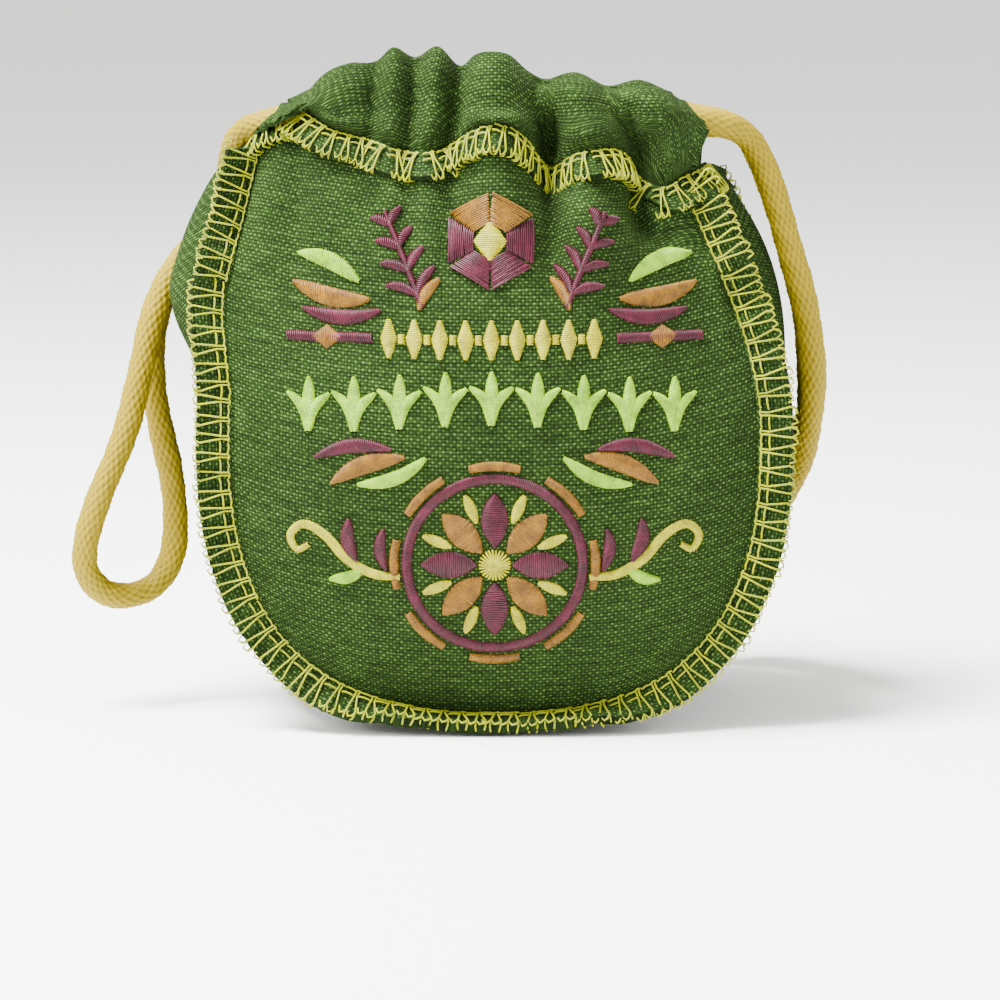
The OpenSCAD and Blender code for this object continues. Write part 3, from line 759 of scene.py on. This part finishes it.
# ---- Overlocked seam allowances ----
# Two plies of canvas stand out from each seam, closed over with a four-thread overlock: a rail near
# the seam, pairs of threads that cross to the edge, and small loops that wrap round it.
seam_w = 6.5 * mm
thread_r = 0.19 * mm


def thread_material(name, steps, twist_scale, twist_share, patch_scale, patch_share, relief, roughness,
                    shine):
    """A sewing thread: a fine twist and longer patches vary its colour, and the twist breaks up its shine."""
    material, tree, shader = new_material(name)
    coords = node(tree, "ShaderNodeTexCoord")
    twist, patch = (
        node(tree, "ShaderNodeTexNoise", {"Vector": coords.outputs["Object"], "Scale": scale, "Detail": 2})
        for scale in (twist_scale, patch_scale))
    mixed = node(tree, "ShaderNodeMath", {0: patch, 1: patch_share}, operation="MULTIPLY")
    mixed = node(tree, "ShaderNodeMath", {0: twist, 1: twist_share, 2: mixed}, operation="MULTIPLY_ADD")
    tone = node(tree, "ShaderNodeValToRGB", {"Fac": mixed})
    colour_steps(tone, steps)
    tree.links.new(tone.outputs["Color"], shader.inputs["Base Color"])
    bump = node(tree, "ShaderNodeBump", {"Height": twist, "Strength": relief[0], "Distance": relief[1]})
    tree.links.new(bump.outputs["Normal"], shader.inputs["Normal"])
    shader.inputs["Roughness"].default_value = roughness
    shader.inputs["Specular IOR Level"].default_value = shine
    return material


# Spun polyester thread: matt and a little uneven, so that the stitches look dull beside the embroidery.
overlock_thread = thread_material(
    "spun_polyester_thread_lime", [(0.32, "#565e00"), (0.52, "#767c00"), (0.72, "#8c9000")],
    twist_scale=2200, twist_share=0.4, patch_scale=140, patch_share=0.7, relief=(0.5, 0.06 * mm),
    roughness=0.55, shine=0.2)


def stitch_curve(name, lines):
    """A curve object of short lines, the pattern of one stitch: x runs along the seam from 0 to 1 stitch,
    y out from the seam and z up off the cloth."""
    curve = bpy.data.curves.new(name, "CURVE")
    curve.dimensions = "3D"
    for line in lines:
        spline = curve.splines.new("POLY")
        spline.points.add(len(line) - 1)
        for point, place in zip(spline.points, line):
            point.co = (*place, 1)
    made = bpy.data.objects.new(name, curve)
    bpy.context.scene.collection.objects.link(made)
    return made


def stitch_tree(name, sides):
    """Geometry Nodes that lay one stitch at each point of a seam, turned along it and scaled to its place."""
    tree = bpy.data.node_groups.new(name, "GeometryNodeTree")
    face = tree.interface
    face.new_socket("Geometry", in_out="INPUT", socket_type="NodeSocketGeometry")
    sockets = {}
    for label, kind in (("Stitch", "NodeSocketObject"), ("Thread radius", "NodeSocketFloat"),
                        ("Unevenness", "NodeSocketFloat"), ("Thread", "NodeSocketMaterial")):
        sockets[label] = face.new_socket(label, in_out="INPUT", socket_type=kind).identifier
    face.new_socket("Geometry", in_out="OUTPUT", socket_type="NodeSocketGeometry")
    given = node(tree, "NodeGroupInput")
    pattern = node(tree, "GeometryNodeObjectInfo", {"Object": given.outputs["Stitch"]})
    along, out, size = (
        node(tree, "GeometryNodeInputNamedAttribute", {"Name": key}, data_type="FLOAT_VECTOR")
        for key in ("along", "out", "size"))
    turned = node(tree, "FunctionNodeAxesToRotation", {0: along, 1: out}, primary_axis="X",
                  secondary_axis="Y")
    lean, stretch = (
        node(tree, "FunctionNodeRandomValue", {0: (-1, -1, -1), 1: (1, 1, 1), "Seed": seed},
             data_type="FLOAT_VECTOR") for seed in (11, 23))
    lean, stretch = (
        node(tree, "ShaderNodeVectorMath", {0: change, "Scale": given.outputs["Unevenness"]},
             operation="SCALE") for change in (lean, stretch))
    euler = node(tree, "FunctionNodeEulerToRotation", {0: lean})
    rotation = node(tree, "FunctionNodeRotateRotation", {0: turned, 1: euler}, rotation_space="LOCAL")
    stretch = node(tree, "ShaderNodeVectorMath", {0: stretch, 1: (1, 1, 1)}, operation="ADD")
    scale = node(tree, "ShaderNodeVectorMath", {0: size, 1: stretch}, operation="MULTIPLY")
    laid = node(tree, "GeometryNodeInstanceOnPoints",
                {"Points": given.outputs["Geometry"], "Instance": pattern.outputs["Geometry"],
                 "Rotation": rotation, "Scale": scale})
    real = node(tree, "GeometryNodeRealizeInstances", {0: laid})
    section = node(tree, "GeometryNodeCurvePrimitiveCircle",
                   {"Resolution": sides, "Radius": given.outputs["Thread radius"]}, mode="RADIUS")
    tube = node(tree, "GeometryNodeCurveToMesh", {"Curve": real, "Profile Curve": section, "Fill Caps": True})
    smooth = node(tree, "GeometryNodeSetShadeSmooth", {0: tube})
    finish = node(tree, "GeometryNodeSetMaterial", {0: smooth, "Material": given.outputs["Thread"]})
    node(tree, "NodeGroupOutput", {0: finish})
    return tree, sockets


def sew(name, places, along, out, size, pattern, radius, unevenness, material):
    """A plain mesh of the stitches at the given places, each with its directions and its size."""
    mesh = bpy.data.meshes.new(name + "_places")
    mesh.from_pydata(np.asarray(places).tolist(), [], [])
    for key, vectors in (("along", along), ("out", out), ("size", size)):
        layer = mesh.attributes.new(key, "FLOAT_VECTOR", "POINT")
        layer.data.foreach_set("vector", np.asarray(vectors, float).ravel())
    points = bpy.data.objects.new(name + "_places", mesh)
    bpy.context.scene.collection.objects.link(points)
    sewing = points.modifiers.new("sewing", "NODES")
    sewing.node_group = stitching
    sewing[stitching_inputs["Stitch"]] = pattern
    sewing[stitching_inputs["Thread radius"]] = radius
    sewing[stitching_inputs["Unevenness"]] = unevenness
    sewing[stitching_inputs["Thread"]] = material
    bpy.context.view_layer.update()
    done = points.evaluated_get(bpy.context.evaluated_depsgraph_get())
    thread = bpy.data.objects.new(name, bpy.data.meshes.new_from_object(done))
    bpy.context.scene.collection.objects.link(thread)
    points.modifiers.remove(sewing)
    bpy.data.objects.remove(points)
    return thread


stitching, stitching_inputs = stitch_tree("stitches_on_a_seam", 5)
low, edge, under = 0.22, 6.75, -1.9      # on the cloth, round the edge and below it, in millimetres
overlock = stitch_curve("overlock_stitch", [
    # the rail along the seam, and the two threads that cross to the edge
    [(0.0, 0.7, low), (0.18, 0.5, low + 0.1), (0.42, 0.75, low), (0.7, 0.55, low), (1.0, 0.7, low)],
    [(0.14, 0.5, low), (0.2, 2.2, low + 0.12), (0.08, 4.4, low + 0.1), (-0.04, 6.3, low),
     (-0.02, edge + 0.35, -0.7), (0.06, 6.2, under - 0.2), (0.3, 3.2, under - 0.25), (0.5, 6.2, under - 0.2)],
    [(0.33, 0.6, low), (0.36, 2.2, low + 0.2), (0.46, 4.4, low + 0.05), (0.52, 6.2, low),
     (0.55, edge + 0.3, -0.8), (0.5, 6.2, under - 0.2)],
    # the loop that lies round the edge
    [(-0.04, 6.3, low), (0.1, edge + 0.55, low - 0.2), (0.32, edge + 0.75, low - 0.4),
     (0.5, 6.4, low + 0.05), (0.7, edge + 0.5, low - 0.2), (0.86, edge + 0.65, low - 0.4), (0.96, 6.3, low)],
    # the needle thread
    [(0.36, 2.2, low - 0.3), (0.45, 2.25, low + 0.1), (0.8, 2.15, low + 0.1), (0.98, 2.2, low + 0.05),
     (1.14, 2.2, low - 0.2)]])


def sewn_allowance(side_name, name, base, out, width, thickness, pitch, node_name):
    """The two plies of a seam allowance and the overlock over it. base is the line of the seam from left
    to right and out the direction that the allowance stands in at each point."""
    reach = distance_along(base)
    even = np.linspace(0, reach[-1], int(reach[-1] / (0.9 * mm)))
    base, out = sampled(even, reach, base), unit(sampled(even, reach, out))
    along = unit(np.gradient(base, axis=0))
    face = unit(np.cross(along, out))
    centre = len(even) // 2
    looks_back = face[centre, 1] > 0
    if looks_back == (side_name == "front"):
        face = -face
    steps = np.array([-0.6, 0.3, 1.6, 3.0, 4.4, 5.5, 6.2, 6.6]) / 6.5
    wave = 0.22 * mm * np.sin(even / (1.9 * mm) + 2 * np.sin(even / (9 * mm)))
    fray = 0.16 * mm * np.sin(even / (0.31 * mm)) * np.sin(even / (2.3 * mm) + 1)
    grid = np.stack([base + out * width * s + face * (wave * s)[:, None] + out * (fray * (s > 0.98))[:, None]
                     for s in steps], 1)
    faces = grid_faces(*grid.shape[:2])
    sample = np.cross(grid[0, 1] - grid[0, 0], grid[1, 0] - grid[0, 0])
    if np.dot(sample, face[0]) < 0:
        faces = [f[::-1] for f in faces]
    cloth = np.stack([even[:, None] + 0 * steps[None], 0 * even[:, None] + steps[None] * width], -1)
    plies = make_piece(name + "_plies", grid.reshape(-1, 3), faces, canvas, cloth.reshape(-1, 2))
    solidify(plies, thickness)
    count = int(reach[-1] / pitch)
    forward = np.dot(np.cross(along[centre], out[centre]), face[centre]) > 0
    at = (np.arange(count) + (0.05 if forward else 0.95)) * reach[-1] / count
    ahead, side, off = (unit(sampled(at, even, way)) for way in (along if forward else -along, out, face))
    places = sampled(at, even, base) + off * 0.25 * mm
    size = np.tile([reach[-1] / count, mm * width / seam_w, mm], (count, 1))
    stitches = sew(name + "_overlock", places, ahead, side, size, overlock, thread_r, 0.05, overlock_thread)
    for piece, slot in ((plies, "canvas"), (stitches, "overlock_thread")):
        join_lip(piece)
        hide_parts(node_name)


a = np.linspace(-corner_a + 0.06, corner_a - 0.05, 420)
rim_x, rim_z = rim_place(a).T
rim = np.stack([rim_x, rim_depth(rim_x, rim_z - 2e-6), rim_z], -1)
normal = seam_out(a)
lean = np.radians(13 + 73 * ease((46 - np.degrees(np.abs(a))) / 30))
lean = lean + np.radians(12) * ease((-np.degrees(a) - 112) / 26)
for side_name, flip in sides:
    seam = gathered(rim * np.array([1, flip, 1]))
    out = np.stack([normal[:, 0] * np.cos(lean), flip * np.sin(lean), normal[:, 1] * np.cos(lean)], -1)
    if flip < 0:
        right_top = ease((np.degrees(a) - 105) / 30)[:, None]
        out = unit(out * (1 - 0.5 * right_top) + np.array([0.75, -0.35, 0.25]) * 0.5 * right_top)
    sewn_allowance(side_name, f"{side_name}_side_seam", seam, out, seam_w, 1.7 * mm, 3.4 * mm,
                   f"{side_name}_seam")

for side_name, flip in sides:
    sewn, out = neck_line(flip, np.linspace(-72, 74, 230))
    hang = np.radians(46 + 5 * np.sin(distance_along(sewn) / (5 * mm)))
    down = out * np.cos(hang)[:, None] - np.array([0, 0, 1]) * np.sin(hang)[:, None]
    sewn_allowance(side_name, f"top_seam_{side_name}", sewn + out * 0.2 * mm, down, 5.8 * mm, 1.3 * mm,
                   2.5 * mm, f"top_seam_{side_name}")


# ---- Embroidery ----
# Machine satin stitch in rayon thread on the front panel: leaves, a six-sided gem, a row of lozenges, a
# row of shoots and a round rosette. Each thread goes straight across its shape, close beside the next.
satin_gap = 0.36 * mm
satin = stitch_curve("satin_thread", [[(-0.5, 0, -0.1), (-0.47, 0, 0.12), (-0.25, 0, 0.36), (0, 0, 0.44),
                                       (0.25, 0, 0.36), (0.47, 0, 0.12), (0.5, 0, -0.1)]])


def on_panel(x, z):
    """Points on the front panel's finished face over (x, z), and the way the face looks there."""
    def place(x, z):
        rest = np.stack([x, -panel_depth(x, z), z], -1)
        made = gathered(rest)
        made[..., 1] -= seam_ripple(rest, -1)
        return made
    step = 0.4 * mm
    aim = np.stack([x, z], -1)
    for _ in range(8):
        x, z = (np.stack([x, z], -1) + 0.8 * (aim - place(x, z)[..., [0, 2]])).T
    here = place(x, z)
    right = place(x + step, z) - place(x - step, z)
    up = place(x, z + step) - place(x, z - step)
    return here, unit(np.cross(right, up))


class Threads:
    """The satin stitches of one colour, gathered stroke by stroke."""

    def __init__(self):
        self.ends = []

    def stroke(self, path, widths, slant=0.0):
        """Stitches across a smooth path, as wide as its widths, both in millimetres, turned by a slant."""
        line = smooth_line(np.array([[px, 0, pz] for px, pz in path], float) * mm, satin_gap)
        ahead = unit(np.gradient(line, axis=0))
        share = np.linspace(0, 1, len(line))
        wide = np.interp(share, np.linspace(0, 1, len(widths)), widths) * mm
        turn = math.radians(90 + slant)
        across = np.stack([ahead[:, 0] * math.cos(turn) - ahead[:, 2] * math.sin(turn),
                           ahead[:, 0] * math.sin(turn) + ahead[:, 2] * math.cos(turn)], -1)
        middle = line[:, [0, 2]]
        half = across * wide[:, None] / 2
        self.ends.append(np.stack([middle - half, middle + half], 1))

    def leaf(self, tip, root, width, bow, slant=20):
        """A leaf from tip to root that bows sideways, full in the middle."""
        tip, root = np.array(tip, float), np.array(root, float)
        side = np.array([tip[1] - root[1], root[0] - tip[0]]) * bow
        t = np.linspace(0, 1, 9)
        path = tip + (root - tip) * t[:, None] + side * np.sin(math.pi * t)[:, None]
        self.stroke(path, 0.5 + (width - 0.5) * np.sin(math.pi * t) ** 0.8, slant)

    def sewn(self, name, material, slot):
        """Sews the stitches as one piece that lies on the front panel."""
        ends = np.concatenate(self.ends)
        a, b = ends[:, 0], ends[:, 1]
        (pa, na), (pb, nb), (pm, nm) = (on_panel(*spots.T) for spots in (a, b, (a + b) / 2))
        span = pb - pa
        length = np.linalg.norm(span, axis=1)
        normal = unit(na + nb + nm)
        middle = (pa + pb) / 2
        middle = middle + normal * np.maximum(0, ((pm - middle) * normal).sum(1))[:, None]
        side = unit(np.cross(normal, span))
        size = np.stack([length, length * 0 + mm, length * 0 + mm], -1)
        middle = middle + normal * 0.08 * mm
        threads = sew(name, middle, unit(span), side, size, satin, 0.21 * mm, 0.03, material)
        join_lip(threads)
        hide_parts("embroidery_" + slot.split("_")[0])


def polar(centre, radius, degrees):
    """A point on a circle."""
    turn = math.radians(degrees)
    return np.array([centre[0] + radius * math.cos(turn), centre[1] + radius * math.sin(turn)])


def fern(threads, root, tip, pairs, size, width):
    """A plain fern sprig: a stem and pairs of leaves that shorten towards the tip."""
    root, tip = np.array(root, float), np.array(tip, float)
    ahead = unit(tip - root)
    side = np.array([-ahead[1], ahead[0]])
    threads.stroke([root, (root + tip) / 2, tip], [width * 0.55, width * 0.6, 0.6], 8)
    for k in range(pairs):
        foot = root + (tip - root) * (k + 0.5) / pairs
        long = size * (1 - 0.55 * k / pairs)
        for s in (-1, 1):
            threads.leaf(foot + (ahead * 0.75 + side * s) * long, foot, width, 0.1 * s)


burgundy, gold, yellow, lime = Threads(), Threads(), Threads(), Threads()
gem = (-0.8, 94.5)
rosette = (0, 34)
for s in (-1, 1):
    # leaf groups beside the gem, one above another, and a fern between
    lime.leaf((s * 37, 91.5), (s * 25.5, 86.8), 3.2, -s * 0.10)
    gold.leaf((s * 38, 86.2), (s * 23.5, 83.6), 3.6, s * 0.08)
    burgundy.leaf((s * 36, 81.4), (s * 21.5, 81.6), 2.8, s * 0.10)
    fern(burgundy, (s * 13.5, 82.5), (s * 20.5, 99.5), 4, 4.8, 1.7)
    gold.leaf((s * 10.5, 87.5), (s * 14.0, 82.0), 2.0, s * 0.1)
    # a bar with a lozenge on it, beside the first row
    burgundy.stroke([(s * 39, 76.4), (s * 31, 76.4), (s * 23, 76.4)], [1.6, 1.6, 1.6], 8)
    gold.stroke([(s * 34.0, 76.4), (s * 31.5, 76.4), (s * 29.0, 76.4)], [0.6, 4.2, 0.6])
    # lower leaf groups
    lime.leaf((s * 25.5, 49.2), (s * 13, 54.4), 2.6, s * 0.10)
    gold.leaf((s * 30.5, 49.4), (s * 17, 54.6), 3.4, -s * 0.08)
    burgundy.leaf((s * 33.5, 54.2), (s * 19.5, 56.0), 2.6, -s * 0.10)
    # curled tendrils with leaves at both sides of the rosette
    yellow.stroke([(s * 18, 31.5), (s * 23, 32.0), (s * 28, 34.8), (s * 32, 39.2), (s * 36, 41.2),
                   (s * 38.6, 39.0), (s * 37.4, 36.2), (s * 35.2, 37.2)],
                  [1.1, 1.5, 1.6, 1.6, 1.5, 1.3, 1.2, 0.8], 6)
    burgundy.leaf((s * 27.5, 42.4), (s * 26.0, 34.6), 2.6, s * 0.12)
    lime.leaf((s * 31.0, 30.6), (s * 25.0, 33.0), 2.3, s * 0.12)
    burgundy.leaf((s * 21.0, 40.6), (s * 20.4, 33.0), 2.2, s * 0.12)
# the gem, with six sides: facets slope from the rim to a small flat table in the middle
corners = [polar(gem, 9.0, 90 + 60 * k) for k in range(7)]
table = [polar(gem, 3.6, 90 + 60 * k) for k in range(7)]
for k, thread in enumerate((gold, burgundy, burgundy, burgundy, burgundy, gold)):
    outer, inner = (corners[k] + corners[k + 1]) / 2, (table[k] + table[k + 1]) / 2
    thread.stroke([outer, (outer + inner) / 2, inner], [8.2, 5.8, 3.6])
yellow.stroke([polar(gem, 3.3, 90), gem, polar(gem, 3.3, 270)], [1.4, 6.0, 1.4])
# first row: lozenges with small beads between them, in yellow; second row: three-leaf shoots, in lime
for k in range(-4, 5):
    cx = k * 4.8 - 0.6
    yellow.stroke([(cx, 79.8), (cx, 76.4), (cx, 73.0)], [0.6, 3.0, 0.6])
    if k < 4:
        yellow.stroke([(cx + 2.4, 77.1), (cx + 2.4, 75.7)], [1.0, 1.0])
for k in range(-4, 5):
    cx = k * 8.6 - 0.6
    rise = 0.9 * math.cos(k * 0.78)
    lime.leaf((cx, 69.6 + rise), (cx, 61.2 + rise), 2.4, 0.0)
    for s in (-1, 1):
        lime.leaf((cx + s * 3.9, 66.8 + rise), (cx + s * 0.3, 60.0 + rise), 1.9, -s * 0.16)
# the rosette: a ring with dashes round it, eight petals about a hub, and a small leaf between two petals
burgundy.stroke([polar(rosette, 16.6, 10 * k) for k in range(37)], [1.7, 1.7])
for k in range(8):
    turn = 45 * k
    petal = gold if k % 2 else burgundy
    petal.leaf(polar(rosette, 13.6, turn), polar(rosette, 3.6, turn), 5.0, 0.0, 0)
    yellow.leaf(polar(rosette, 14.4, turn + 22.5), polar(rosette, 9.0, turn + 22.5), 1.8, 0.0, 0)
    gold.stroke([polar(rosette, 19.0, turn + d) for d in (-14, -5, 5, 14)], [1.2, 1.5, 1.5, 1.2])
yellow.stroke([polar(rosette, 1.5, 30 * k) for k in range(13)], [2.8, 2.8])

# Rayon thread: smooth and lustrous, so that each satin patch catches the light as its threads turn.
for threads, name, dark, main, light in (
        (burgundy, "burgundy", "#1e0009", "#350212", "#4a0822"),
        (gold, "gold", "#3c2600", "#624000", "#7c5804"),
        (yellow, "yellow", "#686400", "#8a8600", "#a09c00"),
        (lime, "lime", "#4a6c00", "#6c9400", "#84ac0c")):
    rayon = thread_material(
        f"rayon_thread_{name}", [(0.34, dark), (0.52, main), (0.72, light)],
        twist_scale=2600, twist_share=0.45, patch_scale=420, patch_share=0.6, relief=(0.4, 0.05 * mm),
        roughness=0.45, shine=0.25)
    threads.sewn(f"satin_{name}", rayon, f"{name}_thread")
for pattern in (overlock, satin):
    bpy.data.objects.remove(pattern)


# ---- Floor and light ----
# A plain pale floor that runs far back, and the soft even light of a white tent: a broad lamp above,
# one at each side, and a white surround.
floor_material, tree, shader = new_material("matt_white_board")
shader.inputs["Base Color"].default_value = colour("#f4f4f2")
shader.inputs["Roughness"].default_value = 0.9
floor = make_piece("floor", [(-9, -9, 0), (9, -9, 0), (9, 9, 0), (-9, 9, 0)], [(0, 1, 2, 3)], floor_material)

world = bpy.data.worlds.new("white_tent")
world.use_nodes = True
world.node_tree.nodes["Background"].inputs["Color"].default_value = colour("#ffffff")
world.node_tree.nodes["Background"].inputs["Strength"].default_value = 1.5
bpy.context.scene.world = world
for name, spot, size, power in (
        ("top_lamp", (-0.3, -0.15, 0.8), 0.35, 54.0),
        ("left_lamp", (-0.8, -0.5, 0.6), 0.5, 13.0),
        ("right_lamp", (0.8, -0.4, 0.5), 0.6, 7.0)):
    lamp = bpy.data.lights.new(name, "AREA")
    lamp.size = size
    lamp.energy = power
    lamp_object = bpy.data.objects.new(name, lamp)
    bpy.context.scene.collection.objects.link(lamp_object)
    lamp_object.location = spot
    lamp_object.rotation_euler = (Vector((0, 0, 0.06)) - Vector(spot)).to_track_quat("-Z", "Y").to_euler()
